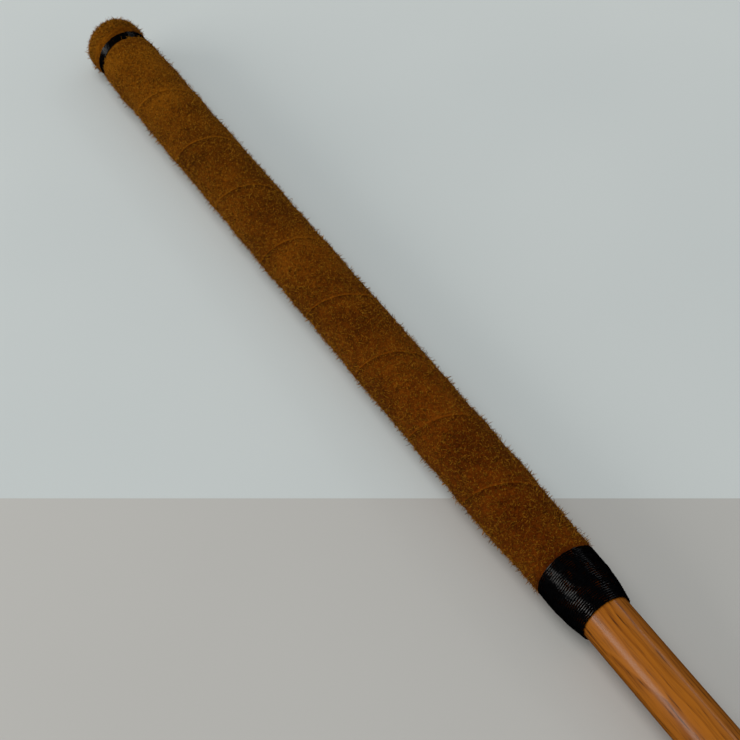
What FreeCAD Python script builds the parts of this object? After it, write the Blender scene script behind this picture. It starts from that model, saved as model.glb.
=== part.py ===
"""Field hockey stick: a spliced wooden stick with a padded, suede-wrapped grip.

The stick lies on its flat face. +X runs from the butt end to the head, +Y is the side that the
toe turns to, and +Z points up, away from the flat face. The origin is in the middle of the
stick's box, on the surface that the stick lies on. All sizes are in millimetres.
"""

import FreeCAD, Part
import math
import os

from FreeCAD import Vector

# Overall sizes
stick_length = 927.0
shaft_diameter = 24.2

# Grip, from the wood outwards
tape_thickness = 0.4
underlay_thickness = 2.7
underlay_lip = 0.3
suede_thickness = 1.45
squeezed_suede = 0.7
thread_build = 0.8

# Stations along the stick, measured from the butt end
top_binding_start = 25.0
top_binding_width = 7.0
top_binding_sink = 0.6
neck_distance = 40.0
neck_length = 20.0
neck_drop = 1.0
lower_binding_start = 474.6
lower_binding_width = 31.6
shoulder_length = 19.2
shoulder_knee = 8.4
shoulder_knee_drop = 0.85
underlay_tail = 6.2
suede_tail = 2.2
suede_roll = 2.0

# Springs in the handle
slot_end = 400.0
tape_overrun = 12.0
spring_thickness = 2.6
spring_pitch = 6.4

# Lower shaft and splice
bare_shaft_length = 83.8
blade_length = 52.0
rake_delay = 20.0
splice_delay = 15.0
splice_length = 140.0
splice_cheek = 1.1
splice_tip_width = 3.0
splice_binding_width = 14.0

# Head
shank_width = 46.0
heel_width = 48.0
toe_width = 41.0
hook_radius = 36.0
hook_turn = 155.0
head_rise = 12.3
head_drop = 9.2
toe_thinning = 2.6
back_squareness = 2.2
face_squareness = 8.0
face_trim = 0.3
toe_end_turn = 80.0

# Tacks
butt_tack_diameter = 1.6
butt_tack_length = 14.0
butt_tack_head = 5.0
wrap_tack_diameter = 1.1
wrap_tack_clearance = 1.15
wrap_tack_head = 3.2
tack_head_height = 0.5
tack_point = 2.0

# Sizes that follow from the ones above
shaft_radius = shaft_diameter / 2.0
tape_radius = shaft_radius + tape_thickness
underlay_radius = tape_radius + underlay_thickness
grip_radius = underlay_radius + suede_thickness
dome_station = grip_radius
pad_edge_radius = tape_radius + underlay_lip
wood_start = dome_station - math.sqrt(underlay_radius ** 2 - pad_edge_radius ** 2)

top_binding_end = top_binding_start + top_binding_width
cap_end = top_binding_start + top_binding_width / 2.0
top_groove = grip_radius - top_binding_sink - thread_build
top_underlay = top_groove - squeezed_suede

neck_start = lower_binding_start - neck_distance
neck_end = neck_start + neck_length
neck_underlay = underlay_radius - neck_drop
neck_radius = grip_radius - neck_drop
lower_groove = neck_underlay + squeezed_suede
lower_binding_end = lower_binding_start + lower_binding_width
shoulder_start = lower_binding_end - shoulder_length
knee_station = shoulder_start + shoulder_knee
knee_radius = lower_groove - shoulder_knee_drop
underlay_end = lower_binding_end - underlay_tail
suede_end = lower_binding_end - suede_tail

tape_end = slot_end + tape_overrun
spring_reach = spring_pitch + spring_thickness / 2.0
wrap_tack_length = top_groove - spring_reach - wrap_tack_clearance

bend_station = stick_length - hook_radius - heel_width / 2.0
taper_start = lower_binding_end + bare_shaft_length
taper_end = bend_station - blade_length
taper_length = taper_end - taper_start
rake_start = taper_start + rake_delay
rake_length = taper_end - rake_start
splice_mouth = taper_start + splice_delay
splice_tip = splice_mouth + splice_length
bend_length = math.radians(hook_turn) * hook_radius
toe_station = bend_station + bend_length
face_height = -grip_radius
far = 4.0 * stick_length

# How finely the shaped wood is described
points_per_quarter = 7
shaft_sections = 15
hook_sections = 11
toe_turns = (25.0, 48.0, 68.0, toe_end_turn)


def mix(first, second, share):
    """Value between first and second."""
    return first + (second - first) * share


def smooth_step(value, start, length):
    """Runs from 0 at start to 1 at start + length, level at both ends."""
    share = min(1.0, max(0.0, (value - start) / length))
    return share * share * (3.0 - 2.0 * share)


# ------------------------------------------------------------- pieces turned about the axis

def turned_face(face):
    return face.revolve(Vector(0, 0, 0), Vector(1, 0, 0), 360)


def turned(profile):
    """Solid turned about the stick's axis from a closed run of (station, radius) points."""
    points = [Vector(station, 0, radius) for station, radius in profile]
    return turned_face(Part.Face(Part.makePolygon(points + [points[0]])))


def on_dome(radius, turn):
    """Point on a dome round the grip's end, turn degrees round from the butt tip."""
    angle = math.radians(turn)
    return Vector(dome_station - math.cos(angle) * radius, 0, math.sin(angle) * radius)


def dome_arc(radius, first, last):
    middle = (first + last) / 2.0
    arc = Part.Arc(on_dome(radius, first), on_dome(radius, middle), on_dome(radius, last))
    return arc.toShape()


def straight_run(points):
    return [Part.LineSegment(a, b).toShape() for a, b in zip(points, points[1:])]


def profile_points(profile):
    return [Vector(station, 0, radius) for station, radius in profile]


def make_suede_cap():
    """Domed end of suede, with its skirt pressed into the groove under the top binding."""
    skirt = profile_points([
        (top_binding_start - suede_roll, grip_radius),
        (top_binding_start, top_groove),
        (cap_end, top_groove),
        (cap_end, top_underlay),
        (top_binding_start, top_underlay),
        (top_binding_start - suede_roll, underlay_radius),
    ])
    path = [on_dome(grip_radius, 90)] + skirt + [on_dome(underlay_radius, 90)]
    edges = [dome_arc(grip_radius, 0, 90)]
    edges += straight_run(path)
    edges.append(dome_arc(underlay_radius, 90, 0))
    edges += straight_run([on_dome(underlay_radius, 0), on_dome(grip_radius, 0)])
    return turned_face(Part.Face(Part.Wire(edges)))


def make_butt_pad():
    """Spherical pad on the sawn end of the handle."""
    edge_turn = math.degrees(math.asin(pad_edge_radius / underlay_radius))
    axis_point = Vector(wood_start, 0, 0)
    edges = [dome_arc(underlay_radius, 0, edge_turn)]
    edges += straight_run([on_dome(underlay_radius, edge_turn), axis_point])
    edges += straight_run([axis_point, on_dome(underlay_radius, 0)])
    return turned_face(Part.Face(Part.Wire(edges)))


def make_underlay():
    """Soft sleeve over tape and handle: domed at the butt, necked and feathered at its foot."""
    edge_turn = math.degrees(math.asin(pad_edge_radius / underlay_radius))
    outside = profile_points([
        (top_binding_start - suede_roll, underlay_radius),
        (top_binding_start, top_underlay),
        (top_binding_end, top_underlay),
        (top_binding_end + suede_roll, underlay_radius),
        (neck_start, underlay_radius),
        (neck_end, neck_underlay),
        (shoulder_start, neck_underlay),
        (underlay_end, shaft_radius),
        (tape_end, shaft_radius),
        (tape_end, tape_radius),
        (wood_start, tape_radius),
    ])
    edges = [dome_arc(underlay_radius, edge_turn, 90)]
    edges += straight_run([on_dome(underlay_radius, 90)] + outside)
    edges += straight_run([outside[-1], on_dome(underlay_radius, edge_turn)])
    return turned_face(Part.Face(Part.Wire(edges)))


def make_suede_wrap():
    """The wound suede strip as one sleeve, from the top binding to its skived foot."""
    return turned([
        (cap_end, top_groove),
        (top_binding_end, top_groove),
        (top_binding_end + suede_roll, grip_radius),
        (neck_start, grip_radius),
        (neck_end, neck_radius),
        (lower_binding_start - suede_roll, neck_radius),
        (lower_binding_start, lower_groove),
        (shoulder_start, lower_groove),
        (knee_station, knee_radius),
        (suede_end, shoulder_radius(suede_end)),
        (suede_end, shaft_radius),
        (underlay_end, shaft_radius),
        (shoulder_start, neck_underlay),
        (neck_end, neck_underlay),
        (neck_start, underlay_radius),
        (top_binding_end + suede_roll, underlay_radius),
        (top_binding_end, top_underlay),
        (cap_end, top_underlay),
    ])


def shoulder_radius(station):
    """Radius that the thread lies on below the knee, falling to bare wood at its lower edge."""
    share = (station - knee_station) / (lower_binding_end - knee_station)
    return mix(knee_radius, shaft_radius, share)


def make_top_binding():
    return turned([
        (top_binding_start, top_groove + thread_build),
        (top_binding_end, top_groove + thread_build),
        (top_binding_end, top_groove),
        (top_binding_start, top_groove),
    ])


def make_lower_binding():
    """Whipping over the grip's foot: level first, then a shoulder down to the wood."""
    lying_on = [
        (lower_binding_start, lower_groove),
        (shoulder_start, lower_groove),
        (knee_station, knee_radius),
        (suede_end, shoulder_radius(suede_end)),
    ]
    foot = [(suede_end, shaft_radius), (lower_binding_end, shaft_radius)]
    outside = [(station, radius + thread_build) for station, radius in lying_on[:3]]
    outside.append((lower_binding_end, shaft_radius + thread_build))
    return turned(lying_on + foot + outside[::-1])


def make_handle_tape():
    return turned([
        (wood_start, shaft_radius),
        (wood_start, tape_radius),
        (tape_end, tape_radius),
        (tape_end, shaft_radius),
    ])


# ------------------------------------------------------------- shaped wood

def half_width(station):
    """Half the wood's width in the plane of the hook, at a station along the centre line."""
    if station <= bend_station:
        width = mix(shaft_diameter, shank_width, smooth_step(station, taper_start, taper_length))
    else:
        quarter = hook_radius * math.pi / 2.0
        width = mix(shank_width, heel_width, smooth_step(station, bend_station, quarter))
        narrowing = smooth_step(station, bend_station + quarter, bend_length - quarter)
        width = mix(width, toe_width, narrowing)
    return width / 2.0


def centre_line(station):
    """Point on the centre line, its direction, and the direction across it in the hook's plane."""
    angle = min(max(station - bend_station, 0.0), bend_length) / hook_radius
    along = Vector(math.cos(angle), math.sin(angle), 0)
    across = Vector(-math.sin(angle), math.cos(angle), 0)
    if station <= bend_station:
        return Vector(station, 0, 0), along, across
    centre = Vector(bend_station, hook_radius, 0)
    point = centre - across * hook_radius
    return point + along * max(station - toe_station, 0.0), along, across


def section(station, grow=0.0, toe_turn=0.0):
    """Closed outline of the wood at a station: round shaft, or flat-faced, round-backed head."""
    raked = smooth_step(station, rake_start, rake_length)
    thinned = smooth_step(station, bend_station, bend_length) * toe_thinning
    cap_sine = math.sin(math.radians(toe_turn))
    cap_cosine = math.cos(math.radians(toe_turn))

    side = half_width(station) * cap_cosine + grow
    rise = (mix(shaft_radius, head_rise, raked) - thinned) * cap_cosine + grow
    cap_drop = (1.0 - cap_sine ** face_squareness) ** (1.0 / face_squareness)
    drop = mix(shaft_radius, head_drop + face_trim, raked) * cap_drop + grow
    height = mix(0.0, face_height + head_drop, raked)

    point, along, across = centre_line(station)
    up = Vector(0, 0, 1)
    middle = point + along * (toe_width / 2.0 * cap_sine) + up * height
    back = (rise, mix(2.0, back_squareness, raked))
    face = (drop, mix(2.0, face_squareness, raked))
    quarters = []
    for number, (tall, power) in enumerate((back, back, face, face)):
        outline = []
        for index in range(points_per_quarter + 1):
            angle = (number + index / points_per_quarter) * math.pi / 2.0
            cosine, sine = math.cos(angle), math.sin(angle)
            reach = (abs(cosine / side) ** power + abs(sine / tall) ** power) ** (-1.0 / power)
            outline.append(middle + across * (reach * cosine) + up * (reach * sine))
        ways = (up, across * -1.0, up * -1.0, across)
        curve = Part.BSplineCurve()
        curve.interpolate(Points=outline, InitialTangent=ways[number],
                          FinalTangent=ways[(number + 1) % 4])
        quarters.append(curve.toShape())
    return Part.Wire(quarters)


def round_section(station):
    """Circle of the round shaft at a station, in four quarters as the shaped sections have."""
    middle = Vector(station, 0, 0)
    quarters = []
    for number in range(4):
        turns = [(number + share) * math.pi / 2.0 for share in (0.0, 0.5, 1.0)]
        points = [Vector(0, math.cos(turn), math.sin(turn)) * shaft_radius for turn in turns]
        quarters.append(Part.Arc(*[middle + point for point in points]).toShape())
    return Part.Wire(quarters)


def make_shaped_wood():
    """Lower shaft, hook and toe as one body, planed flat on the face side."""
    stations = []
    for index in range(shaft_sections):
        stations.append(mix(taper_start, bend_station, index / (shaft_sections - 1.0)))
    for index in range(1, hook_sections):
        stations.append(mix(bend_station, toe_station, index / (hook_sections - 1.0)))
    outlines = [round_section(taper_start)]
    outlines += [section(station) for station in stations[1:]]
    outlines += [section(toe_station, toe_turn=turn) for turn in toe_turns]
    body = Part.makeLoft(outlines, True, False)
    waste = Part.makeBox(far, far, far, Vector(-far / 2.0, -far / 2.0, face_height - far))
    return body.cut(waste)


def make_round_shaft():
    """Straight round part of the handle, from its sawn end to where the taper starts."""
    run = Vector(wood_start - taper_start, 0, 0)
    return Part.Face(round_section(taper_start)).extrude(run)


def make_splice_wedge():
    """Everything that belongs to the handle's side of the V splice."""
    mouth = half_width(splice_mouth) - splice_cheek
    tip = splice_tip_width / 2.0
    corners = [
        (taper_start, -shank_width), (splice_mouth, -shank_width), (splice_mouth, -mouth),
        (splice_tip, -tip), (splice_tip, tip),
        (splice_mouth, mouth), (splice_mouth, shank_width), (taper_start, shank_width),
    ]
    points = [Vector(x, y, -shank_width) for x, y in corners]
    return Part.Face(Part.makePolygon(points + [points[0]])).extrude(Vector(0, 0, 2 * shank_width))


def make_splice_binding(start, wood):
    """Thread band wound round the wood from a start station."""
    middle = start + splice_binding_width / 2.0
    stations = (start, middle, start + splice_binding_width)
    band = Part.makeLoft([section(station, grow=thread_build) for station in stations], True, False)
    return band.cut(wood)


# ------------------------------------------------------------- springs and tacks

def make_spring(height):
    """Slip that fills one saw slot of the handle, level with the wood all round."""
    length = slot_end - wood_start
    corner = Vector(wood_start, -shaft_diameter, height - spring_thickness / 2.0)
    slip = Part.makeBox(length, 2 * shaft_diameter, spring_thickness, corner)
    return slip.common(make_round_shaft())


def make_tack(base, inward, shank, length, head, limit):
    """Tack from a point on a surface, driven inward, its head dressed to that surface."""
    outside = base - inward * tack_head_height
    disc = Part.makeCylinder(head / 2.0, 2.0 * tack_head_height, outside, inward)
    straight = length - tack_point
    body = Part.makeCylinder(shank / 2.0, straight, base, inward)
    point = Part.makeCone(shank / 2.0, 0, tack_point, base + inward * straight, inward)
    return disc.common(limit).fuse([body.common(limit), point]).removeSplitter()


def make_butt_tacks():
    """Two tacks that hold the butt pad, between the middle slip and the outer ones."""
    limit = Part.makeSphere(underlay_radius, Vector(dome_station, 0, 0))
    tacks = []
    for height in (-spring_pitch / 2.0, spring_pitch / 2.0):
        sink = math.sqrt(underlay_radius ** 2 - height ** 2)
        base = Vector(dome_station - sink, 0, height)
        tacks.append(make_tack(base, Vector(1, 0, 0), butt_tack_diameter, butt_tack_length,
                               butt_tack_head, limit))
    return Part.makeCompound(tacks)


def make_wrap_tack(station, radius):
    """Tack that holds one end of the suede strip, under a binding."""
    limit = Part.makeCylinder(radius, far, Vector(-far / 2.0, 0, 0), Vector(1, 0, 0))
    return make_tack(Vector(station, 0, radius), Vector(0, 0, -1), wrap_tack_diameter,
                     wrap_tack_length, wrap_tack_head, limit)


# ------------------------------------------------------------- the stick

def make_stick():
    """Every piece by name, in stations from the butt end."""
    wood = make_shaped_wood()
    wedge = make_splice_wedge()
    springs = {
        "spring_strip_face": make_spring(-spring_pitch),
        "spring_strip_middle": make_spring(0.0),
        "spring_strip_back": make_spring(spring_pitch),
    }
    butt_tacks = make_butt_tacks()
    wrap_tacks = {
        "wrap_tack_top": make_wrap_tack(mix(cap_end, top_binding_end, 0.5), top_groove),
        "wrap_tack_foot": make_wrap_tack(mix(lower_binding_start, shoulder_start, 0.5),
                                         lower_groove),
    }
    driven = list(wrap_tacks.values())

    handle = make_round_shaft().fuse(wood.common(wedge)).removeSplitter()
    handle = handle.cut(list(springs.values()) + [butt_tacks] + driven)

    splice_foot = splice_tip - splice_binding_width - splice_tip_width
    splice_top = splice_mouth - splice_binding_width / 2.0
    pieces = {
        "handle": handle,
        "head": wood.cut(wedge),
        "splice_binding_top": make_splice_binding(splice_top, wood),
        "splice_binding_middle": make_splice_binding((splice_top + splice_foot) / 2.0, wood),
        "splice_binding_foot": make_splice_binding(splice_foot, wood),
        "handle_tape": make_handle_tape().cut(driven),
        "grip_underlay": make_underlay().cut(driven),
        "butt_pad": make_butt_pad().cut(butt_tacks),
        "butt_tacks": butt_tacks,
        "suede_cap": make_suede_cap(),
        "suede_wrap": make_suede_wrap().cut(driven),
        "top_binding": make_top_binding(),
        "lower_binding": make_lower_binding(),
    }
    pieces.update(springs)
    pieces.update(wrap_tacks)
    return pieces


def lay_down(pieces):
    """Moves the stick so that the origin is under the middle of its box."""
    box = Part.makeCompound(list(pieces.values())).optimalBoundingBox(False, False)
    for shape in pieces.values():
        shape.translate(Vector(-box.Center.x, -box.Center.y, -box.ZMin))


def main():
    os.makedirs("parts", exist_ok=True)
    pieces = make_stick()
    lay_down(pieces)
    for name, shape in pieces.items():
        shape.exportStep("parts/" + name + ".step")
        print(name, "solids", len(shape.Solids), "valid", shape.isValid(), round(shape.Volume, 1))


main()
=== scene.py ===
"""Field hockey stick: the visible finish of a spliced wooden stick with a suede-wrapped grip.

The stick lies on its flat face. Its pieces are wound suede, a domed suede cap, thread bindings,
varnished wood, and what the grip hides. All lengths are in metres unless a name says millimetres.
"""

import math

import bmesh
import bpy
import numpy as np
from bpy.props import FloatProperty, FloatVectorProperty, IntProperty, PointerProperty
from mathutils import Matrix, Vector
from mathutils.bvhtree import BVHTree


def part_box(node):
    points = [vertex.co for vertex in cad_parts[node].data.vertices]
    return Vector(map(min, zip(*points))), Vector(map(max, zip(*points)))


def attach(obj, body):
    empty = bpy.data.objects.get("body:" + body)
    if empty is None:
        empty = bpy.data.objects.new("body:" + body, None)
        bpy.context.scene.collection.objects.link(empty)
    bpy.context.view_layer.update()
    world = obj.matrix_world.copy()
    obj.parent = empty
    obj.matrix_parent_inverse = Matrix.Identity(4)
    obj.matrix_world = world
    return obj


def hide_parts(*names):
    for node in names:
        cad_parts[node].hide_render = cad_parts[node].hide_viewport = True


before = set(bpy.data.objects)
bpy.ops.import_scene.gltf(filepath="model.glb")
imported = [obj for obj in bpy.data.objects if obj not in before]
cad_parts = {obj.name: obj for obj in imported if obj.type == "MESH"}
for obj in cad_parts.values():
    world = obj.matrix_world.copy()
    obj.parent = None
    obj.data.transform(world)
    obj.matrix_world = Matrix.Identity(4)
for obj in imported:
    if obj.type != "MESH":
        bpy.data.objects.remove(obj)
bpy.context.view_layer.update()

bl_info = {
    "name": "Field Hockey Stick",
    "version": (1, 0, 0),
    "blender": (4, 5, 0),
    "location": "View3D > Sidebar > Hockey Stick",
    "description": "Dresses a field hockey stick in suede, thread and varnished wood",
    "category": "Mesh",
}

MM = 0.001
BINDINGS = (
    "top_binding", "lower_binding", "splice_binding_top", "splice_binding_middle",
    "splice_binding_foot",
)


# ------------------------------------------------------------------ measures from the frame

def butt_point():
    """Where the stick's axis leaves the butt end."""
    low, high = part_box("suede_wrap")
    cap_low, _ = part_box("suede_cap")
    return Vector((cap_low.x, (low.y + high.y) / 2, (low.z + high.z) / 2))


BUTT = butt_point()

# Outer radius of the suede at stations from the butt end, in millimetres.
SUEDE_LINE = np.array((
    (28.6, 15.25), (32.0, 15.25), (34.0, 16.65), (434.6, 16.65), (454.6, 15.65),
    (472.6, 15.65), (474.6, 14.9), (487.0, 14.9), (495.4, 14.05), (503.9, 12.45),
)) * MM
# Radius that the thread of each turned binding lies on, in millimetres.
TOP_THREAD_LINE = np.array(((25.0, 15.25), (32.0, 15.25))) * MM
LOWER_THREAD_LINE = np.array(((474.6, 14.9), (487.0, 14.9), (495.4, 14.05), (506.2, 12.1))) * MM
# The cap: radius of its dome, and how far the hide is drawn in at the tip.
DOME_RADIUS = 0.01665
TIP_DRAW = 0.1
# Thickness of the visible hide, which lies on what the grip hides.
HIDE_THICKNESS = 0.0007
# How far the pressed thread stands off what it is wound on.
THREAD_BUILD = 0.0008
# Half the thread's width over its diameter: a little over a half, so that turns press together.
THREAD_PRESS = 0.515
STEPS_A_TURN = 72
# The bend's centre and the radius of the centre line round it, for grain that follows the hook.
BEND_CENTRE = (0.40348, 0.00302)
BEND_RADIUS = 0.036


def hex_linear(text):
    """Linear RGBA of an sRGB colour written as six hex digits."""
    channels = [int(text[i:i + 2], 16) / 255 for i in (0, 2, 4)]
    linear = [c / 12.92 if c <= 0.04045 else ((c + 0.055) / 1.055) ** 2.4 for c in channels]
    return (*linear, 1.0)


def smooth(value):
    """Runs from 0 to 1 as value does, level at both ends. Works on numbers and arrays."""
    value = np.clip(value, 0.0, 1.0)
    return value * value * (3 - 2 * value)


# ------------------------------------------------------------------ sizes and colours

class SuedeSizes(bpy.types.PropertyGroup):
    """The suede strip, its cap and its nap."""
    pitch: FloatProperty(
        name="Pitch", description="How far each turn of the strip moves along the grip",
        default=0.0487, min=0.02, max=0.1, unit="LENGTH")
    overlap: FloatProperty(
        name="Overlap", description="How far a turn lies over the edge of the next",
        default=0.0045, min=0.001, max=0.02, unit="LENGTH")
    seam_station: FloatProperty(
        name="Seam station", description="Where a seam crosses the front, from the butt end",
        default=0.4276, min=0.0, max=0.5, unit="LENGTH")
    seam_side: FloatProperty(
        name="Seam side", description="Turn about the axis at which the seam station is measured",
        default=math.radians(117.5), subtype="ANGLE")
    ridge: FloatProperty(
        name="Ridge", description="How far a turn's free edge stands up over the next turn",
        default=0.00016, min=0.0, max=0.002, unit="LENGTH")
    fibre_count: IntProperty(
        name="Fibres", description="Loose fibres that stand out of the nap",
        default=46000, min=0, max=90000)
    fibre_length: FloatProperty(
        name="Fibre length", description="Length of a typical loose fibre",
        default=0.0016, min=0.0002, max=0.005, unit="LENGTH")
    fibre_width: FloatProperty(
        name="Fibre width", description="Width of a loose fibre at its root",
        default=0.0002, min=0.00002, max=0.0005, unit="LENGTH")
    colour_light: FloatVectorProperty(
        name="Light nap", description="Nap brushed towards the eye", subtype="COLOR", size=4,
        default=hex_linear("955A10"))
    colour_mid: FloatVectorProperty(
        name="Middle nap", description="Most of the nap", subtype="COLOR", size=4,
        default=hex_linear("6E3A03"))
    colour_dark: FloatVectorProperty(
        name="Dark nap", description="Nap rubbed flat and greasy", subtype="COLOR", size=4,
        default=hex_linear("3E1A01"))
    # Tints the nap's sheen, and is also put into the loose fibres' colour as a painted sheen.
    colour_sheen: FloatVectorProperty(
        name="Sheen", description="Light caught by the nap's tips", subtype="COLOR", size=4,
        default=hex_linear("B4791F"))


class ThreadSizes(bpy.types.PropertyGroup):
    """The waxed thread of every binding."""
    diameter: FloatProperty(
        name="Diameter", description="Thickness of the thread",
        default=0.00112, min=0.0003, max=0.003, unit="LENGTH")
    ply_twist: FloatProperty(
        name="Ply twist", description="Length of thread in one turn of its plies",
        default=0.0019, min=0.0005, max=0.01, unit="LENGTH")
    colour: FloatVectorProperty(
        name="Thread", description="Colour of the thread", subtype="COLOR", size=4,
        default=hex_linear("030304"))


class WoodSizes(bpy.types.PropertyGroup):
    """The growth rings and finish of the two woods."""
    ash_ring: FloatProperty(
        name="Ash ring", description="Width of a growth ring in the handle",
        default=0.0024, min=0.0005, max=0.01, unit="LENGTH")
    mulberry_ring: FloatProperty(
        name="Mulberry ring", description="Width of a growth ring in the head",
        default=0.0042, min=0.0005, max=0.01, unit="LENGTH")
    pore_length: FloatProperty(
        name="Pore length", description="Length of an open pore's streak",
        default=0.014, min=0.001, max=0.05, unit="LENGTH")
    ash_light: FloatVectorProperty(
        name="Ash late wood", description="Dense summer wood under amber varnish",
        subtype="COLOR", size=4, default=hex_linear("AC6410"))
    ash_dark: FloatVectorProperty(
        name="Ash early wood", description="Open spring wood under amber varnish",
        subtype="COLOR", size=4, default=hex_linear("8A4A05"))
    mulberry_light: FloatVectorProperty(
        name="Mulberry late wood", description="Dense wood of the head", subtype="COLOR",
        size=4, default=hex_linear("B8761E"))
    mulberry_dark: FloatVectorProperty(
        name="Mulberry early wood", description="Open wood of the head", subtype="COLOR",
        size=4, default=hex_linear("7E4208"))


class StageSizes(bpy.types.PropertyGroup):
    """Where the camera stands and how the studio is lit."""
    heading: FloatProperty(
        name="Heading", description="Direction that the camera looks in, from +X towards +Y",
        default=math.radians(148.53), subtype="ANGLE")
    elevation: FloatProperty(
        name="Elevation", description="How steeply the camera looks down",
        default=math.radians(46.42), subtype="ANGLE")
    distance: FloatProperty(
        name="Distance", description="From the camera to the grip", default=0.899,
        min=0.1, unit="LENGTH")
    aim_station: FloatProperty(
        name="Aim", description="Place on the axis that the camera looks at, from the butt end",
        default=0.3197, unit="LENGTH")
    aim_aside: FloatProperty(
        name="Aim aside", description="How far the aim lies to the -Y side of the axis",
        default=0.0080, unit="LENGTH")
    aim_below: FloatProperty(
        name="Aim below", description="How far the aim lies below the axis", default=0.0040,
        unit="LENGTH")
    paper_edge: FloatProperty(
        name="Paper edge", description="How far below the aim the two papers meet",
        default=math.radians(4.07), subtype="ANGLE")
    lens: FloatProperty(
        name="Lens", description="Focal length in millimetres", default=87.6, min=10.0)
    key_power: FloatProperty(
        name="Key", description="Power of the large softbox, in watts", default=7.7, min=0.0)
    rim_power: FloatProperty(
        name="Rim", description="Power of the narrow softbox, in watts", default=1.0, min=0.0)
    sky_strength: FloatProperty(
        name="Sky", description="Strength of the even overhead light", default=1.06, min=0.0)
    room_strength: FloatProperty(
        name="Room", description="Strength of the light from all round", default=0.42, min=0.0)


# ------------------------------------------------------------------ materials

def add_node(tree, kind, inputs=None, ramp=None, **settings):
    """Adds a node. inputs maps socket names or numbers to values or to sockets to link from."""
    made = tree.nodes.new(kind)
    for name, value in settings.items():
        setattr(made, name, value)
    if ramp:
        while len(made.color_ramp.elements) < len(ramp):
            made.color_ramp.elements.new(0.5)
        for element, (place, colour) in zip(made.color_ramp.elements, ramp):
            element.position = place
            element.color = colour
    for name, value in (inputs or {}).items():
        if isinstance(value, bpy.types.NodeSocket):
            tree.links.new(value, made.inputs[name])
        else:
            made.inputs[name].default_value = value
    return made


def new_material(name):
    """A material with an empty tree and its output. Returns the material, tree and output."""
    material = bpy.data.materials.new(name)
    material.use_nodes = True
    tree = material.node_tree
    tree.nodes.clear()
    return material, tree, tree.nodes.new("ShaderNodeOutputMaterial")


def millimetre_place(tree):
    """Object coordinates from the butt end of the axis, in millimetres."""
    place = add_node(tree, "ShaderNodeTexCoord")
    from_butt = add_node(tree, "ShaderNodeVectorMath", {0: place.outputs["Object"], 1: BUTT},
                         operation="SUBTRACT")
    size = Vector((1.0, 1.0, 1.0)) / MM
    return add_node(tree, "ShaderNodeVectorMath", {0: from_butt.outputs[0], 1: size},
                    operation="MULTIPLY").outputs[0]


def brushed_suede(sizes):
    """Split cowhide, dyed tan and brushed: a dull, patchy nap with a soft sheen at its edges."""
    material, tree, output = new_material("brushed_suede")
    place = millimetre_place(tree)

    # Patches 15 to 40 mm wide where hands have laid the nap one way or another.
    patches = add_node(tree, "ShaderNodeTexNoise",
                       {"Vector": place, "Scale": 0.035, "Detail": 3.0, "Roughness": 0.55})
    # Tufts 1.5 to 4 mm wide.
    tufts = add_node(tree, "ShaderNodeTexNoise",
                     {"Vector": place, "Scale": 0.5, "Detail": 4.0, "Roughness": 0.65,
                      "Distortion": 0.8})
    # Fibre ends. Real ones are about 0.05 mm, drawn 0.5 mm wide so that they show.
    fibres = add_node(tree, "ShaderNodeTexNoise",
                      {"Vector": place, "Scale": 1.3, "Detail": 5.0, "Roughness": 0.75,
                       "Distortion": 1.6})
    mixed = add_node(tree, "ShaderNodeMath",
                     {0: patches.outputs[0], 1: 0.5, 2: 0.25}, operation="MULTIPLY_ADD")
    mixed = add_node(tree, "ShaderNodeMath",
                     {0: tufts.outputs[0], 1: 0.55, 2: mixed.outputs[0]}, operation="MULTIPLY_ADD")
    mixed = add_node(tree, "ShaderNodeMath",
                     {0: fibres.outputs[0], 1: 1.1, 2: mixed.outputs[0]}, operation="MULTIPLY_ADD")
    # Painted highlight along each free edge and painted shadow beside each seam, added to the nap's
    # tone.
    painted_seam_light = add_node(tree, "ShaderNodeAttribute", attribute_name="painted_seam_light")
    mixed = add_node(tree, "ShaderNodeMath",
                     {0: painted_seam_light.outputs["Fac"], 1: 0.17, 2: mixed.outputs[0]},
                     operation="MULTIPLY_ADD")
    spread = add_node(tree, "ShaderNodeMapRange",
                      {"Value": mixed.outputs[0], "From Min": 1.16, "From Max": 1.50})
    colour = add_node(tree, "ShaderNodeValToRGB", {"Fac": spread.outputs[0]},
                      ramp=[(0.0, sizes.colour_dark), (0.5, sizes.colour_mid),
                            (1.0, sizes.colour_light)])
    # Painted shade: the grip is painted redder and darker from the butt towards its lower end.
    along = add_node(tree, "ShaderNodeSeparateXYZ", {0: place})
    head_ward_share = add_node(tree, "ShaderNodeMapRange",
                    {"Value": along.outputs["X"], "From Min": 20.0, "From Max": 430.0})
    painted_shade_tint = add_node(tree, "ShaderNodeValToRGB", {"Fac": head_ward_share.outputs[0]},
                    ramp=[(0.0, hex_linear("FFFFE8")), (1.0, hex_linear("E0B8A4"))])
    painted_shade_nap = add_node(tree, "ShaderNodeMixRGB",
                    {"Fac": 1.0, "Color1": colour.outputs[0], "Color2": painted_shade_tint.outputs[0]},
                    blend_type="MULTIPLY")

    height = add_node(tree, "ShaderNodeMath",
                      {0: tufts.outputs[0], 1: 0.6, 2: fibres.outputs[0]},
                      operation="MULTIPLY_ADD")
    bump = add_node(tree, "ShaderNodeBump",
                    {"Height": height.outputs[0], "Strength": 1.0, "Distance": 0.0009})
    shader = add_node(tree, "ShaderNodeBsdfPrincipled",
                      {"Base Color": painted_shade_nap.outputs[0], "Roughness": 0.95, "IOR": 1.45,
                       "Specular IOR Level": 0.05, "Sheen Weight": 0.25,
                       "Sheen Roughness": 0.45, "Sheen Tint": sizes.colour_sheen,
                       "Normal": bump.outputs[0]})
    tree.links.new(shader.outputs[0], output.inputs["Surface"])
    return material


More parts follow.
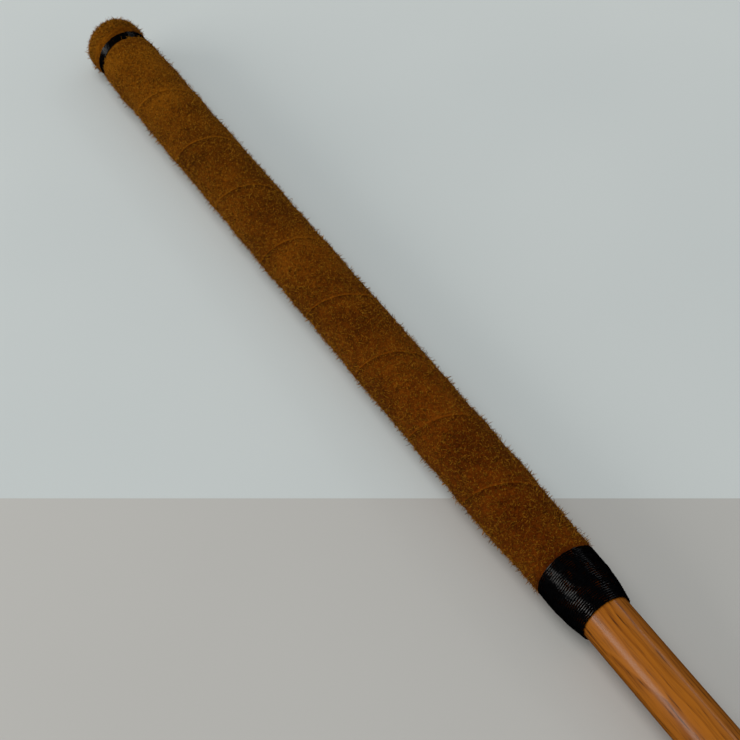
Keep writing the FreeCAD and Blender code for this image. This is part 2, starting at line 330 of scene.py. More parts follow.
def loose_fibre(sizes):
    """A single hide fibre: pale and thin, its colour running up to the sheen colour, a painted
    sheen that makes it glow at the edges.
    """
    material, tree, output = new_material("loose_fibre")
    place = millimetre_place(tree)
    tone = add_node(tree, "ShaderNodeTexNoise", {"Vector": place, "Scale": 0.7, "Detail": 3.0})
    # Painted sheen: the fibre's base colour runs from dark nap up to the sheen colour.
    colour = add_node(tree, "ShaderNodeValToRGB", {"Fac": tone.outputs[0]},
                      ramp=[(0.36, sizes.colour_dark), (0.6, sizes.colour_sheen)])
    shader = add_node(tree, "ShaderNodeBsdfPrincipled",
                      {"Base Color": colour.outputs[0], "Roughness": 0.8, "IOR": 1.45,
                       "Specular IOR Level": 0.05, "Sheen Weight": 0.2,
                       "Sheen Tint": sizes.colour_sheen})
    tree.links.new(shader.outputs[0], output.inputs["Surface"])
    return material


def waxed_thread(sizes):
    """Black linen thread drawn through wax: a bright line on each turn, broken by its plies."""
    material, tree, output = new_material("waxed_thread")
    uv = add_node(tree, "ShaderNodeUVMap", uv_map="thread")
    parts = add_node(tree, "ShaderNodeSeparateXYZ", {0: uv.outputs[0]})
    # u counts ply twists along the thread and v goes once round it, so u + 3 v draws three plies.
    twist = add_node(tree, "ShaderNodeMath",
                     {0: parts.outputs["Y"], 1: 3.0, 2: parts.outputs["X"]},
                     operation="MULTIPLY_ADD")
    turn = add_node(tree, "ShaderNodeMath", {0: twist.outputs[0], 1: math.tau},
                    operation="MULTIPLY")
    plies = add_node(tree, "ShaderNodeMath", {0: turn.outputs[0]}, operation="SINE")
    bump = add_node(tree, "ShaderNodeBump",
                    {"Height": plies.outputs[0], "Strength": 0.12, "Distance": 0.00008})
    wax = add_node(tree, "ShaderNodeTexNoise",
                   {"Vector": millimetre_place(tree), "Scale": 0.6, "Detail": 3.0})
    gloss = add_node(tree, "ShaderNodeMapRange",
                     {"Value": wax.outputs[0], "From Min": 0.3, "From Max": 0.7,
                      "To Min": 0.14, "To Max": 0.24})
    shade = add_node(tree, "ShaderNodeValToRGB", {"Fac": wax.outputs[0]},
                     ramp=[(0.35, sizes.colour), (0.75, hex_linear("08080A"))])
    shader = add_node(tree, "ShaderNodeBsdfPrincipled",
                      {"Base Color": shade.outputs[0], "Roughness": gloss.outputs[0],
                       "IOR": 1.5, "Specular IOR Level": 0.5, "Normal": bump.outputs[0]})
    tree.links.new(shader.outputs[0], output.inputs["Surface"])
    return material


def varnished_wood(name, light, dark, ring, sizes, follows_bend):
    """Ring-porous wood under amber spirit varnish: dark porous bands and a clear gloss."""
    material, tree, output = new_material(name)

    def calculate(operation, *values):
        return add_node(tree, "ShaderNodeMath", dict(enumerate(values)),
                        operation=operation).outputs[0]

    parts = add_node(tree, "ShaderNodeSeparateXYZ", {0: millimetre_place(tree)})
    along, across = parts.outputs["X"], parts.outputs["Y"]
    if follows_bend:
        # Past the start of the bend, grain runs round the bend's centre.
        radius = BEND_RADIUS / MM
        past = calculate("SUBTRACT", along, (BEND_CENTRE[0] - BUTT.x) / MM)
        inward = calculate("SUBTRACT", (BEND_CENTRE[1] - BUTT.y) / MM, across)
        turn = calculate("ARCTAN2", past, inward)
        turn = calculate("WRAP", turn, 1.5 * math.pi, -0.5 * math.pi)
        reach = calculate("SQRT", calculate("ADD", calculate("MULTIPLY", past, past),
                                            calculate("MULTIPLY", inward, inward)))
        bent = calculate("GREATER_THAN", turn, 0.0)
        straight = calculate("SUBTRACT", 1.0, bent)
        along = calculate("ADD", calculate("MULTIPLY", past, straight),
                          calculate("MULTIPLY", calculate("MULTIPLY", turn, radius), bent))
        across = calculate("SUBTRACT", radius,
                           calculate("ADD", calculate("MULTIPLY", inward, straight),
                                     calculate("MULTIPLY", reach, bent)))
    grain = add_node(tree, "ShaderNodeCombineXYZ",
                     {0: along, 1: across, 2: parts.outputs["Z"]}).outputs[0]

    def stretched(scale, detail, roughness=0.6):
        lengthened = add_node(tree, "ShaderNodeVectorMath", {0: grain, 1: scale},
                              operation="MULTIPLY")
        return add_node(tree, "ShaderNodeTexNoise",
                        {"Vector": lengthened.outputs[0], "Scale": 1.0, "Detail": detail,
                         "Roughness": roughness}).outputs[0]

    # Rings round a pith that lies well outside the piece, and leans a little along it.
    sway = stretched((0.012, 0.07, 0.07), 2.0)
    lean = calculate("MULTIPLY", along, 0.016)
    aside = calculate("ADD", across, 46.0)
    above = calculate("SUBTRACT", parts.outputs["Z"], 31.0)
    distance = calculate("SQRT", calculate("ADD", calculate("MULTIPLY", aside, aside),
                                           calculate("MULTIPLY", above, above)))
    distance = calculate("ADD", calculate("ADD", distance, lean),
                         calculate("MULTIPLY", sway, 9.0))
    rings = calculate("FRACT", calculate("DIVIDE", distance, ring / MM))
    band = add_node(tree, "ShaderNodeValToRGB", {"Fac": rings},
                    ramp=[(0.0, (0.15, 0.15, 0.15, 1)), (0.10, (0.0, 0.0, 0.0, 1)),
                          (0.30, (0.7, 0.7, 0.7, 1)), (0.86, (1.0, 1.0, 1.0, 1)),
                          (1.0, (0.15, 0.15, 0.15, 1))]).outputs[0]
    broad = stretched((0.006, 0.16, 0.16), 2.0)
    tone = calculate("ADD", calculate("MULTIPLY", band, 0.42), calculate("MULTIPLY", broad, 0.9))
    base = add_node(tree, "ShaderNodeValToRGB", {"Fac": tone},
                    ramp=[(0.35, dark), (0.9, light)]).outputs[0]

    # Open pores of 0.3 mm, drawn 0.6 mm wide so that they show.
    pore_scale = (MM / sizes.pore_length, 1.7, 1.7)
    pores = stretched(pore_scale, 2.0, 0.5)
    open_pores = add_node(tree, "ShaderNodeMapRange",
                          {"Value": pores, "From Min": 0.54, "From Max": 0.64}).outputs[0]
    crowded = calculate("MULTIPLY", open_pores, calculate("SUBTRACT", 1.15, band))
    pored = add_node(tree, "ShaderNodeMixRGB",
                     {"Fac": calculate("MULTIPLY", crowded, 0.75), "Color1": base,
                      "Color2": hex_linear("3A1A08")}).outputs[0]

    bump = add_node(tree, "ShaderNodeBump",
                    {"Height": open_pores, "Strength": 0.25, "Distance": 0.0001},
                    invert=True)
    brush = stretched((0.02, 0.25, 0.25), 3.0)
    coat_bump = add_node(tree, "ShaderNodeBump",
                         {"Height": brush, "Strength": 0.2, "Distance": 0.0005})
    shader = add_node(tree, "ShaderNodeBsdfPrincipled",
                      {"Base Color": pored, "Roughness": 0.42, "IOR": 1.5,
                       "Specular IOR Level": 0.25, "Coat Weight": 0.45,
                       "Coat Roughness": 0.18, "Coat IOR": 1.5,
                       "Normal": bump.outputs[0], "Coat Normal": coat_bump.outputs[0]})
    tree.links.new(shader.outputs[0], output.inputs["Surface"])
    return material


def mottled(name, first, second, scale, roughness, metallic=0.0, relief=0.0002, ior=1.5):
    """A finish of two mixed colours with a fine relief. scale is patches per millimetre."""
    material, tree, output = new_material(name)
    speckle = add_node(tree, "ShaderNodeTexNoise",
                       {"Vector": millimetre_place(tree), "Scale": scale, "Detail": 4.0})
    colour = add_node(tree, "ShaderNodeValToRGB", {"Fac": speckle.outputs[0]},
                      ramp=[(0.35, hex_linear(first)), (0.65, hex_linear(second))])
    bump = add_node(tree, "ShaderNodeBump",
                    {"Height": speckle.outputs[0], "Strength": 0.5, "Distance": relief})
    shader = add_node(tree, "ShaderNodeBsdfPrincipled",
                      {"Base Color": colour.outputs[0], "Roughness": roughness,
                       "Metallic": metallic, "IOR": ior, "Normal": bump.outputs[0]})
    tree.links.new(shader.outputs[0], output.inputs["Surface"])
    return material


# ------------------------------------------------------------------ meshes

def from_rings(name, rings, material, closed_path=False, uv=None):
    """A closed mesh swept along rings, an array of (ring, corner, xyz)."""
    count, corners = rings.shape[:2]
    last = count if closed_path else count - 1
    rows, columns = np.meshgrid(np.arange(last), np.arange(corners), indexing="ij")
    next_row, next_column = (rows + 1) % count, (columns + 1) % corners
    quads = np.stack((rows * corners + columns, next_row * corners + columns,
                      next_row * corners + next_column, rows * corners + next_column), axis=-1)
    faces = quads.reshape(-1, 4).tolist()
    if not closed_path:
        faces.append(list(range(corners)))
        faces.append(list(range((count - 1) * corners, count * corners))[::-1])
    mesh = bpy.data.meshes.new(name)
    mesh.from_pydata(rings.reshape(-1, 3).tolist(), [], faces)
    if uv is not None:
        along = np.stack((rows, rows + 1, rows + 1, rows), axis=-1).reshape(-1)
        around = np.stack((columns, columns, columns + 1, columns + 1), axis=-1).reshape(-1)
        values = np.zeros((len(mesh.loops), 2))
        values[:len(along), 0] = uv[np.minimum(along, count - 1)]
        values[:len(around), 1] = around / corners
        mesh.uv_layers.new(name="thread").data.foreach_set("uv", values.reshape(-1))
    mesh.polygons.foreach_set("use_smooth", [True] * len(mesh.polygons))
    mesh.materials.append(material)
    made = bpy.data.objects.new(name, mesh)
    bpy.context.scene.collection.objects.link(made)
    tidy_mesh(made)
    return made


def tidy_mesh(made):
    """Joins corners that meet and turns every face outwards."""
    edit = bmesh.new()
    edit.from_mesh(made.data)
    bmesh.ops.remove_doubles(edit, verts=edit.verts, dist=1e-7)
    bmesh.ops.recalc_face_normals(edit, faces=edit.faces)
    edit.to_mesh(made.data)
    edit.free()


def around_axis(station, angle, radius):
    """Points at stations, at angles from +Y towards +Z and at radii from the axis."""
    station, angle, radius = np.broadcast_arrays(station, angle, radius)
    return np.stack((BUTT.x + station, BUTT.y + np.cos(angle) * radius,
                     BUTT.z + np.sin(angle) * radius), axis=-1)


class Undulation:
    """A smooth random height over the grip: a sum of waves that close round the axis."""

    def __init__(self, seed, shortest, longest, height, waves=36):
        chance = np.random.default_rng(seed)
        length = np.exp(chance.uniform(math.log(shortest), math.log(longest), waves))
        heading = chance.uniform(0, math.tau, waves)
        self.along = math.tau / length * np.cos(heading)
        self.around = np.round(math.tau * 0.0166 / length * np.sin(heading))
        self.phase = chance.uniform(0, math.tau, waves)
        self.height = height * (length / longest) ** 0.5 * math.sqrt(2 / waves)

    def at(self, station, angle):
        station, angle = np.broadcast_arrays(station, angle)
        total = np.zeros(station.shape)
        for along, around, phase, height in zip(self.along, self.around, self.phase, self.height):
            total += height * np.sin(along * station + around * angle + phase)
        return total


PADDING = Undulation(3, 0.012, 0.045, 0.00022)
NAP = Undulation(5, 0.0022, 0.007, 0.00016)
SEAM_WOBBLE = Undulation(7, 0.03, 0.09, 0.0012, waves=8)
WINDING_SLACK = Undulation(11, 0.001, 0.02, 0.00005, waves=20)


def seam(sizes, turn):
    """Station of the strip's free edge at a turn angle, which grows along the grip."""
    edge = sizes.seam_station + sizes.pitch * turn / math.tau
    return edge + SEAM_WOBBLE.at(edge, 0.0)


def suede_radius(sizes, station, turn):
    """Outer radius of the strip at a station, on the turn whose free edge is seam(turn)."""
    to_edge = seam(sizes, turn) - station
    from_cover = station - seam(sizes, turn - math.tau)
    angle = sizes.seam_side - turn
    radius = np.interp(station, SUEDE_LINE[:, 0], SUEDE_LINE[:, 1])
    soft = smooth((station - 0.034) / 0.004) * smooth((0.472 - station) / 0.004)
    relief = PADDING.at(station, angle) + NAP.at(station, angle)
    begun = smooth((station - 0.05) / 0.02)
    relief += begun * sizes.ridge * smooth(1 - to_edge / 0.007)
    relief += begun * sizes.ridge * smooth(1 - to_edge / 0.0014)
    relief -= begun * 0.00018 * smooth(1 - from_cover / 0.005)
    return radius + relief * soft


def seam_light_paint(sizes, station, turn):
    """Painted seam light: 1 for a painted highlight along a free edge, -1 for a painted shadow
    beside a seam.
    """
    to_edge = seam(sizes, turn) - station
    from_cover = station - seam(sizes, turn - math.tau)
    begun = smooth((station - 0.05) / 0.02) * smooth((0.472 - station) / 0.004)
    return begun * (1.4 * smooth(1 - to_edge / 0.0014) - 0.6 * smooth(1 - from_cover / 0.0045))


def wind_suede(sizes, material):
    """The suede strip: one ribbon wound from under the top binding to under the lower one."""
    first, last = SUEDE_LINE[0, 0], SUEDE_LINE[-1, 0]
    width = sizes.pitch + sizes.overlap
    start = (first + 0.002 - sizes.seam_station) / sizes.pitch * math.tau
    finish = (last + width - 0.004 - sizes.seam_station) / sizes.pitch * math.tau
    turns = np.arange(start, finish, math.tau / 150)
    shares = np.linspace(0, 1, 40)
    shares = 0.5 - 0.5 * np.cos(shares * math.pi)

    edge = np.clip(seam(sizes, turns), first + 0.001, last)
    covered = np.clip(seam(sizes, turns - math.tau) - sizes.overlap, first, last - 0.001)
    station = covered[:, None] + shares * (edge - covered)[:, None]
    turn = turns[:, None]
    angle = sizes.seam_side - turn
    top = suede_radius(sizes, station, turn)
    # The covered edge goes down under the turn before it, and the free edge stays on top.
    hidden = smooth((seam(sizes, turn - math.tau) - station) / 0.0025)
    top = top - 0.0002 * hidden
    thick = HIDE_THICKNESS * (1 - 0.3 * hidden)
    rounded = np.sqrt(np.clip(1 - (2 * shares - 1) ** 60, 0, 1))
    low = top - thick
    middle = (top + low) / 2
    high = middle + (top - middle) * rounded
    low = middle - (middle - low) * rounded
    outside = around_axis(station, angle, high)
    inside = around_axis(station, angle, low)[:, ::-1][:, 1:-1]
    strip = from_rings("suede_strip", np.concatenate((outside, inside), axis=1), material)
    # The painted highlight and painted shadow along the seams, stored on the strip for its
    # material.
    painted_seam_light = seam_light_paint(sizes, station, turn)
    painted_seam_light = np.concatenate((painted_seam_light, painted_seam_light[:, ::-1][:, 1:-1]), axis=1)
    strip.data.attributes.new("painted_seam_light", "FLOAT", "POINT").data.foreach_set("value", painted_seam_light.reshape(-1))
    length = (finish - start) / math.tau * math.hypot(sizes.pitch, math.tau * 0.0164)
    return strip, width * math.cos(math.atan2(sizes.pitch, math.tau * 0.0164)), length


def cap_line():
    """Outer profile of the cap, from its tip to the end of its skirt: stations and radii."""
    turn = np.linspace(0, math.pi / 2, 46)
    stations = list(DOME_RADIUS - np.cos(turn) * (DOME_RADIUS - 0.0009))
    radii = list(np.sin(turn) * DOME_RADIUS * (1 - TIP_DRAW * np.cos(turn) ** 2))
    for station, radius in ((0.0195, DOME_RADIUS), (0.0222, 0.0166), (0.0236, 0.0162),
                            (0.0247, 0.0154), (0.0255, 0.01525), (0.0284, 0.01525)):
        stations.append(station)
        radii.append(radius)
    return np.array(stations), np.array(radii)


def cap_radius_and_station(share, angle):
    """A point of the cap's outer surface, share of the way along its profile."""
    stations, radii = cap_line()
    steps = np.hypot(np.diff(stations), np.diff(radii))
    run = np.concatenate(((0.0,), np.cumsum(steps))) / np.sum(steps)
    station = np.interp(share, run, stations)
    radius = np.interp(share, run, radii)
    soft = smooth(share / 0.2) * smooth((0.0235 - station) / 0.002)
    relief = (PADDING.at(station, angle) * 0.7 + NAP.at(station, angle)) * soft
    return station - relief * np.cos(np.minimum(share * 2.4, math.pi / 2)), radius + relief * soft


def shape_cap(material):
    """The domed suede cap, pinched in under the top binding."""
    angles = np.linspace(0, math.tau, 144, endpoint=False)[:, None]
    shares = np.linspace(0, 1, 70)[None, :]
    station, radius = cap_radius_and_station(shares, angles)
    outside = around_axis(station, angles, radius)
    line_station, line_radius = cap_line()
    keep = np.linspace(0, len(line_station) - 1, 30).astype(int)
    inner_station = np.minimum(line_station[keep] + 0.0012 * np.cos(np.minimum(
        line_station[keep] / DOME_RADIUS, 1.0) * math.pi / 2), 0.0284)
    inner_radius = np.maximum(line_radius[keep] - HIDE_THICKNESS, 0.0)
    inside = around_axis(inner_station[None, ::-1], angles, inner_radius[None, ::-1])
    return from_rings("suede_dome", np.concatenate((outside, inside), axis=1), material,
                      closed_path=True)


def loose_fibres(name, roots, normals, sizes, material, seed):
    """Many short bent fibres, each a closed three-sided spike, standing on roots."""
    chance = np.random.default_rng(seed)
    count = len(roots)
    sideways = np.cross(normals, chance.normal(size=(count, 3)))
    sideways /= np.linalg.norm(sideways, axis=1)[:, None]
    lift = np.abs(chance.normal(0.18, 0.24, count))
    proud = chance.random(count) < 0.16
    lift[proud] = chance.uniform(0.5, 1.4, proud.sum())
    length = sizes.fibre_length * np.exp(chance.normal(0, 0.4, count))
    length[proud] *= 1.15
    length = np.minimum(length, 2 * sizes.fibre_length)
    heading = sideways * np.cos(lift)[:, None] + normals * np.sin(lift)[:, None]
    bend = np.cross(normals, heading) * chance.normal(0, 0.22, count)[:, None]
    bend += normals * chance.normal(0.05, 0.12, count)[:, None]
    middle = roots + (heading * 0.5 + bend) * length[:, None]
    tip = roots + (heading + bend * 0.6) * length[:, None]
    width = sizes.fibre_width * chance.uniform(0.7, 1.3, count)
    width[proud] *= 1.7
    second = np.cross(heading, normals + bend * 0.1)
    second /= np.linalg.norm(second, axis=1)[:, None]
    third = np.cross(heading, second)
    corners = []
    for centre, share in ((roots - normals * 0.00015, 0.5), (middle, 0.4)):
        for number in range(3):
            turn = math.tau * number / 3
            out = second * math.cos(turn) + third * math.sin(turn)
            corners.append(centre + out * (width * share)[:, None])
    corners.append(tip)
    points = np.stack(corners, axis=1).reshape(-1, 3)
    # Fibres under the stick are pressed flat.
    points[:, 2] = np.maximum(points[:, 2], 0.0)
    pattern = ((2, 1, 0), (0, 1, 4, 3), (1, 2, 5, 4), (2, 0, 3, 5), (3, 4, 6), (4, 5, 6), (5, 3, 6))
    faces = [tuple(base + corner for corner in face)
             for base in range(0, 7 * count, 7) for face in pattern]
    mesh = bpy.data.meshes.new(name)
    mesh.from_pydata(points.tolist(), [], faces)
    mesh.polygons.foreach_set("use_smooth", [True] * len(mesh.polygons))
    mesh.materials.append(material)
    made = bpy.data.objects.new(name, mesh)
    bpy.context.scene.collection.objects.link(made)
    tidy_mesh(made)
    return made


def wind_thread(name, path, normals, sizes, material):
    """A round thread pressed a little flat, along a path whose normals point off the surface."""
    along = np.gradient(path, axis=0)
    step = np.linalg.norm(along, axis=1)
    along /= step[:, None]
    side = np.cross(along, normals)
    side /= np.linalg.norm(side, axis=1)[:, None]
    turn = np.linspace(0, math.tau, 10, endpoint=False)[None, :, None]
    # Both ends are tucked down under their neighbours.
    index = np.arange(len(path))
    tuck = smooth(np.minimum(index, index[::-1]) / 8.0)[:, None, None]
    rings = (path[:, None] + side[:, None] * np.cos(turn) * sizes.diameter * THREAD_PRESS
             + normals[:, None] * (np.sin(turn) * THREAD_BUILD * 0.5
                                   - THREAD_BUILD * 0.35 * (1 - tuck)))
    return from_rings(name, rings, material, uv=np.cumsum(step) / sizes.ply_twist)


def turned_winding(line, sizes):
    """Path and normals of thread wound side by side over a profile about the axis."""
    run = line[-1, 0] - line[0, 0] - sizes.diameter
    turns = round(run / sizes.diameter)
    steps = turns * STEPS_A_TURN
    share = np.linspace(0, 1, steps)
    station = line[0, 0] + sizes.diameter / 2 + run * share
    angle = share * turns * math.tau
    radius = np.interp(station, line[:, 0], line[:, 1]) + THREAD_BUILD / 2
    radius += WINDING_SLACK.at(station, angle)
    path = around_axis(station, angle, radius)
    slope = np.gradient(radius) / np.gradient(station)
    normals = np.stack((-slope, np.cos(angle), np.sin(angle)), axis=-1)
    return path, normals / np.linalg.norm(normals, axis=1)[:, None]


def winding_on_wood(node, sizes):
    """Path and normals of thread wound side by side over the shaped wood, inside a CAD node."""
    low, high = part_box(node)
    trees = [BVHTree.FromPolygons([wood.matrix_world @ v.co for v in wood.data.vertices],
                                  [tuple(p.vertices) for p in wood.data.polygons])
             for wood in (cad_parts["handle"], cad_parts["head"])]
    run = high.x - low.x - sizes.diameter
    turns = round(run / sizes.diameter)
    path, normals = [], []
    middle_y, middle_z = (low.y + high.y) / 2, (low.z + high.z) / 2
    steps = turns * STEPS_A_TURN
    for index in range(steps):
        share = index / (steps - 1)
        angle = share * turns * math.tau
        x = low.x + sizes.diameter / 2 + run * share
        out = Vector((0, math.cos(angle), math.sin(angle)))
        start = Vector((x, middle_y, middle_z)) + out * 0.08
        hits = [tree.ray_cast(start, -out) for tree in trees]
        hits = [hit for hit in hits if hit[0] is not None]
        if not hits:
            raise RuntimeError("no wood under the thread of " + node)
        place, normal = min(hits, key=lambda hit: hit[3])[:2]
        if normal.dot(out) < 0:
            normal = -normal
        path.append(place + normal * THREAD_BUILD / 2)
        normals.append(normal)
    return np.array(path), np.array(normals)


# ------------------------------------------------------------------ operators

def show_node(name, material):
    """Carries a CAD node over as it is, with a finish of its own."""
    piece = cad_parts[name]
    piece.data.materials.clear()
    piece.data.materials.append(material)
    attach(piece, "root")
    return piece


class HOCKEY_OT_suede(bpy.types.Operator):
    """Wind the suede strip and stretch the suede cap over the butt"""
    bl_idname = "hockey.suede"
    bl_label = "Suede Grip"
    bl_options = {"REGISTER", "UNDO"}

    def execute(self, context):
        sizes = context.scene.hockey_suede
        nap = brushed_suede(sizes)
        fluff = loose_fibre(sizes)
        chance = np.random.default_rng(20)

        strip, width, length = wind_suede(sizes, nap)
        count = sizes.fibre_count
        station = chance.uniform(0.033, 0.4735, count)
        angle = chance.uniform(0, math.tau, count)
        turn = sizes.seam_side - angle
        lap = np.ceil((station - seam(sizes, turn)) / sizes.pitch)
        turn = turn + lap * math.tau
        radius = suede_radius(sizes, station, turn)
        out = around_axis(0.0, angle, 1.0) - around_axis(0.0, angle, 0.0)
        fibres = loose_fibres("suede_strip_fibres", around_axis(station, angle, radius), out,
                              sizes, fluff, 21)
        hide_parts("suede_wrap")
        for piece in (strip, fibres):
            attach(piece, "root")

        cap = shape_cap(nap)
        count //= 12
        share = np.sqrt(chance.uniform(0.002, 0.62, count))
        angle = chance.uniform(0, math.tau, count)
        cap_station, cap_radius = cap_radius_and_station(share, angle)
        roots = around_axis(cap_station, angle, cap_radius)
        centre = np.array(BUTT) + np.array((DOME_RADIUS, 0, 0))
        out = roots - centre
        out[:, 0] = np.minimum(out[:, 0], 0.0)
        out /= np.linalg.norm(out, axis=1)[:, None]
        cap_fibres = loose_fibres("suede_cap_fibres", roots, out, sizes, fluff, 22)
        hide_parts("suede_cap")
        for piece in (cap, cap_fibres):
            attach(piece, "root")
        return {"FINISHED"}


class HOCKEY_OT_bindings(bpy.types.Operator):
    """Wind the waxed thread of every binding"""
    bl_idname = "hockey.bindings"
    bl_label = "Thread Bindings"
    bl_options = {"REGISTER", "UNDO"}

    def execute(self, context):
        sizes = context.scene.hockey_thread
        thread = waxed_thread(sizes)
        for node in BINDINGS:
            if node == "top_binding":
                path, normals = turned_winding(TOP_THREAD_LINE, sizes)
            elif node == "lower_binding":
                path, normals = turned_winding(LOWER_THREAD_LINE, sizes)
            else:
                path, normals = winding_on_wood(node, sizes)
            winding = wind_thread(node + "_thread", path, normals, sizes, thread)
            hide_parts(node)
            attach(winding, "root")
        return {"FINISHED"}


class HOCKEY_OT_wood(bpy.types.Operator):
    """Finish the handle and the head in varnished wood"""
    bl_idname = "hockey.wood"
    bl_label = "Varnished Wood"
    bl_options = {"REGISTER", "UNDO"}

    def execute(self, context):
        sizes = context.scene.hockey_wood
        ash = varnished_wood("varnished_ash", sizes.ash_light, sizes.ash_dark, sizes.ash_ring,
                             sizes, False)
        mulberry = varnished_wood("varnished_mulberry", sizes.mulberry_light,
                                  sizes.mulberry_dark, sizes.mulberry_ring, sizes, True)
        show_node("handle", ash)
        show_node("head", mulberry)
        return {"FINISHED"}


class HOCKEY_OT_inner_pieces(bpy.types.Operator):
    """Finish the pieces that the grip hides: springs, tape, underlay, pad and tacks"""
    bl_idname = "hockey.inner_pieces"
    bl_label = "Inner Pieces"
    bl_options = {"REGISTER", "UNDO"}

    def execute(self, context):
        # Vulcanised rubber: dull black with a grey bloom.
        rubber = mottled("vulcanised_rubber", "161514", "24211E", 0.8, 0.75)
        # Cork: warm brown grains 1 to 3 mm across.
        cork = mottled("pressed_cork", "8A5E36", "B88A58", 0.6, 0.85)
        # Woven cotton tape: off-white, yellowed by glue.
        tape = mottled("woven_cotton", "B9A988", "D2C5A6", 1.2, 0.9)
        # Wool felt: a soft even grey with no gloss.
        felt = mottled("wool_felt", "6E6A62", "8C877C", 0.9, 0.95)
        # Vegetable-tanned leather: smooth russet with a low sheen.
        leather = mottled("tanned_leather", "6B3B1C", "85502A", 0.7, 0.6)
        # Blued steel: dark grey metal with a satin gloss.
        steel = mottled("blued_steel", "3A3D42", "565A60", 1.5, 0.4, metallic=1.0, relief=0.00002)
        finishes = {
            "spring_strip_face": (rubber, "spring_rubber"),
            "spring_strip_middle": (cork, "cork"),
            "spring_strip_back": (rubber, "spring_rubber"),
            "handle_tape": (tape, "cotton_tape"),
            "grip_underlay": (felt, "felt"),
            "butt_pad": (leather, "pad_leather"),
            "butt_tacks": (steel, "tack_steel"),
            "wrap_tack_top": (steel, "tack_steel"),
            "wrap_tack_foot": (steel, "tack_steel"),
        }
        for node, (material, slot) in finishes.items():
            show_node(node, material)
        return {"FINISHED"}


def add_softbox(name, place, aim, size, power, colour):
    """A square area light at a place, facing aim."""
    light = bpy.data.lights.new(name, "AREA")
    light.shape = "RECTANGLE"
    light.size, light.size_y = size
    light.energy = power
    light.color = colour
    lamp = bpy.data.objects.new(name, light)
    lamp.location = place
    lamp.rotation_euler = (Vector(aim) - Vector(place)).to_track_quat("-Z", "Y").to_euler()
    bpy.context.scene.collection.objects.link(lamp)
    return lamp


def add_sky_panel(name, place, aim, strength, spread):
    """A soft overhead light that falls evenly over the whole floor."""
    light = bpy.data.lights.new(name, "SUN")
    light.energy = strength
    light.angle = spread
    lamp = bpy.data.objects.new(name, light)
    lamp.location = place
    lamp.rotation_euler = (Vector(aim) - Vector(place)).to_track_quat("-Z", "Y").to_euler()
    bpy.context.scene.collection.objects.link(lamp)
    return lamp


def add_floor(name, centre, size, turn, material):
    """A level rectangle of floor."""
    half_x, half_y = size[0] / 2, size[1] / 2
    mesh = bpy.data.meshes.new(name)
    mesh.from_pydata([(-half_x, -half_y, 0), (half_x, -half_y, 0), (half_x, half_y, 0),
                      (-half_x, half_y, 0)], [], [(0, 1, 2, 3)])
    mesh.materials.append(material)
    floor = bpy.data.objects.new(name, mesh)
    floor.matrix_world = Matrix.Translation(centre) @ Matrix.Rotation(turn, 4, "Z")
    bpy.context.scene.collection.objects.link(floor)
    return floor


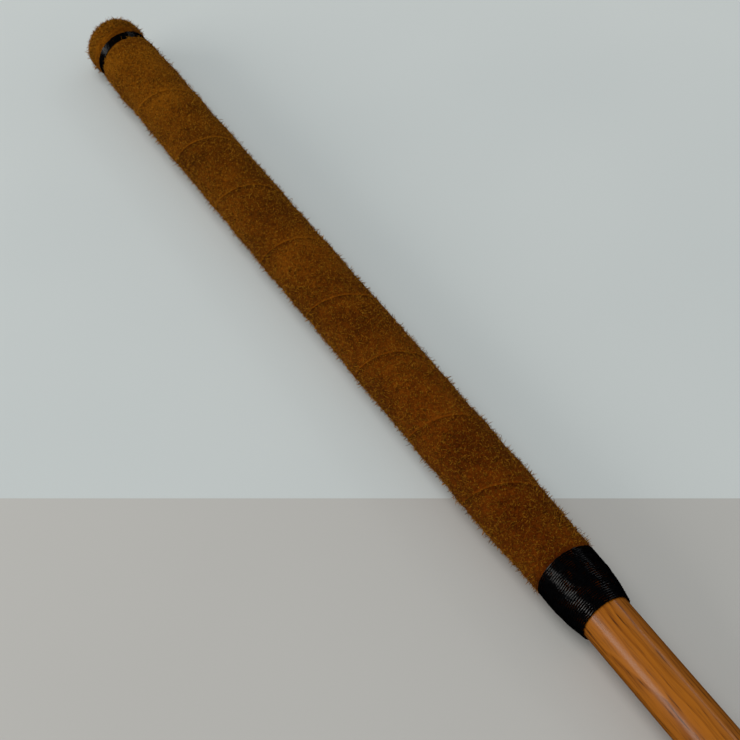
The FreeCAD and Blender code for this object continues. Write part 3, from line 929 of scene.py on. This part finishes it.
class HOCKEY_OT_stage(bpy.types.Operator):
    """Lay the pale floor, hang the soft lights and stand the camera"""
    bl_idname = "hockey.stage"
    bl_label = "Stage"
    bl_options = {"REGISTER", "UNDO"}

    def execute(self, context):
        sizes = context.scene.hockey_stage
        # Matt paper: even and without gloss, cool behind the grip and warm before it.
        cool = mottled("cool_matt_paper", "D2D8D7", "DCE1DF", 0.0015, 0.9, relief=0.0)
        warm = mottled("warm_matt_paper", "C3C1BC", "C9C7C2", 0.0015, 0.9, relief=0.0)
        aim = Vector((BUTT.x + sizes.aim_station, BUTT.y - sizes.aim_aside,
                      BUTT.z - sizes.aim_below))
        level = Vector((math.cos(sizes.heading), math.sin(sizes.heading), 0))
        look = level * math.cos(sizes.elevation) - Vector((0, 0, math.sin(sizes.elevation)))
        place = aim - look * sizes.distance
        reach = place.z / math.tan(sizes.elevation + sizes.paper_edge)
        edge = Vector((place.x, place.y, 0)) + level * reach
        span = 60.0
        far_floor = add_floor("far_floor", (edge.x, edge.y, -0.0004), (2 * span, 2 * span),
                              sizes.heading, cool)
        near_middle = edge - level * span / 2
        near_floor = add_floor("near_floor", (near_middle.x, near_middle.y, -0.0002),
                               (span, 2 * span), sizes.heading, warm)
        camera_data = bpy.data.cameras.new("camera")
        camera_data.lens = sizes.lens
        camera_data.sensor_width = 36.0
        camera_data.clip_start = 0.01
        camera = bpy.data.objects.new("camera", camera_data)
        camera.location = place
        camera.rotation_euler = look.to_track_quat("-Z", "Y").to_euler()
        context.scene.collection.objects.link(camera)
        context.scene.camera = camera

        key = add_softbox("key", (-0.65, -1.34, 0.60), aim, (1.3, 0.55), sizes.key_power,
                          (1.0, 0.97, 0.93))
        rim = add_softbox("rim", (-0.75, 1.1, 1.0), aim, (0.8, 0.22), sizes.rim_power,
                          (0.95, 0.98, 1.0))
        top = add_sky_panel("top", (-0.2, -0.8, 2.3), aim, sizes.sky_strength, math.radians(40))
        # Gloss mirrors the two upright softboxes alone, so its streaks stay narrow.
        for plain in (top, far_floor, near_floor):
            plain.visible_glossy = False
        world = bpy.data.worlds.new("studio")
        world.use_nodes = True
        background = world.node_tree.nodes["Background"]
        background.inputs["Color"].default_value = hex_linear("DDE2E4")
        background.inputs["Strength"].default_value = sizes.room_strength
        world.cycles_visibility.glossy = False
        context.scene.world = world
        context.scene.view_settings.view_transform = "Standard"
        return {"FINISHED"}


class HOCKEY_PT_panel(bpy.types.Panel):
    """Sizes and steps of the field hockey stick"""
    bl_idname = "HOCKEY_PT_panel"
    bl_label = "Field Hockey Stick"
    bl_space_type = "VIEW_3D"
    bl_region_type = "UI"
    bl_category = "Hockey Stick"

    def draw(self, context):
        layout = self.layout
        for name in GROUPS:
            box = layout.box()
            sizes = getattr(context.scene, name)
            for key in sizes.__annotations__:
                box.prop(sizes, key)
        for operator in OPERATORS:
            layout.operator(operator.bl_idname)


GROUPS = {
    "hockey_suede": SuedeSizes,
    "hockey_thread": ThreadSizes,
    "hockey_wood": WoodSizes,
    "hockey_stage": StageSizes,
}
OPERATORS = (
    HOCKEY_OT_suede, HOCKEY_OT_bindings, HOCKEY_OT_wood, HOCKEY_OT_inner_pieces, HOCKEY_OT_stage,
)


def register():
    for name, group in GROUPS.items():
        bpy.utils.register_class(group)
        setattr(bpy.types.Scene, name, PointerProperty(type=group))
    for operator in OPERATORS:
        bpy.utils.register_class(operator)
    bpy.utils.register_class(HOCKEY_PT_panel)


def unregister():
    bpy.utils.unregister_class(HOCKEY_PT_panel)
    for operator in reversed(OPERATORS):
        bpy.utils.unregister_class(operator)
    for name, group in reversed(GROUPS.items()):
        delattr(bpy.types.Scene, name)
        bpy.utils.unregister_class(group)


def main():
    """Registers the add-on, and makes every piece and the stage."""
    register()
    bpy.ops.hockey.suede()
    bpy.ops.hockey.bindings()
    bpy.ops.hockey.wood()
    bpy.ops.hockey.inner_pieces()
    bpy.ops.hockey.stage()
    bpy.context.view_layer.update()


if __name__ == "__main__":
    main()
